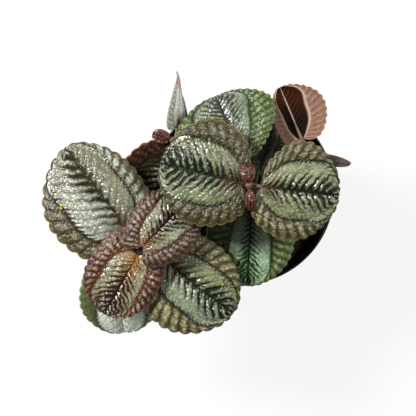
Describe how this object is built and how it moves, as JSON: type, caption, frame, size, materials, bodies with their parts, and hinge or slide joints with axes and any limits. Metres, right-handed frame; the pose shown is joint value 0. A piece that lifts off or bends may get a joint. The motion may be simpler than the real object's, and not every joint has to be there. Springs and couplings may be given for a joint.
{
  "type": "potted pilea",
  "caption": "Potted pilea: leafy stems with quilted, silver-banded bronze leaves in opposite pairs, in a small tapered nursery pot of potting mix.",
  "frame": {"origin": "centre of the pot's underside, where the pot's axis meets the surface that it stands on", "axes": "+Z up along the pot's axis; seen from above with +Y up, the tallest stem's top pair of leaves lies along X, and the long stem leans out over the rim towards -X and -Y"},
  "size_m": [0.1667, 0.146, 0.1506],
  "materials": {
    "pot_plastic": "satin",
    "potting_mix": "matte",
    "stem": "satin",
    "leaf_bronze": "satin",
    "leaf_green": "satin",
    "leaf_red": "satin",
    "leaf_pink": "satin"
  },
  "bodies": {
    "root": {"pot": "pot_plastic", "potting_mix": "potting_mix", "stem_front": "stem", "stem_left": "stem", "stem_back": "stem", "stem_right": "stem", "leaf_bud_north": "leaf_red", "leaf_bud_south": "leaf_red", "leaf_front_west": "leaf_bronze", "leaf_front_east": "leaf_bronze", "leaf_front_north": "leaf_green", "leaf_front_south": "leaf_green", "leaf_front_low_west": "leaf_green", "leaf_front_low_east": "leaf_green", "leaf_front_low_north": "leaf_green", "leaf_left_northeast": "leaf_red", "leaf_left_southwest": "leaf_red", "leaf_left_northwest": "leaf_bronze", "leaf_left_southeast": "leaf_bronze", "leaf_left_low": "leaf_green", "leaf_left_shade": "leaf_green", "leaf_back_young_west": "leaf_red", "leaf_back_young_east": "leaf_red", "leaf_back_north": "leaf_green", "leaf_back_inner": "leaf_green", "leaf_back_south": "leaf_red", "leaf_right_north": "leaf_pink", "leaf_right_east": "leaf_pink", "leaf_right_shade": "leaf_green"}
  },
  "joints": []
}
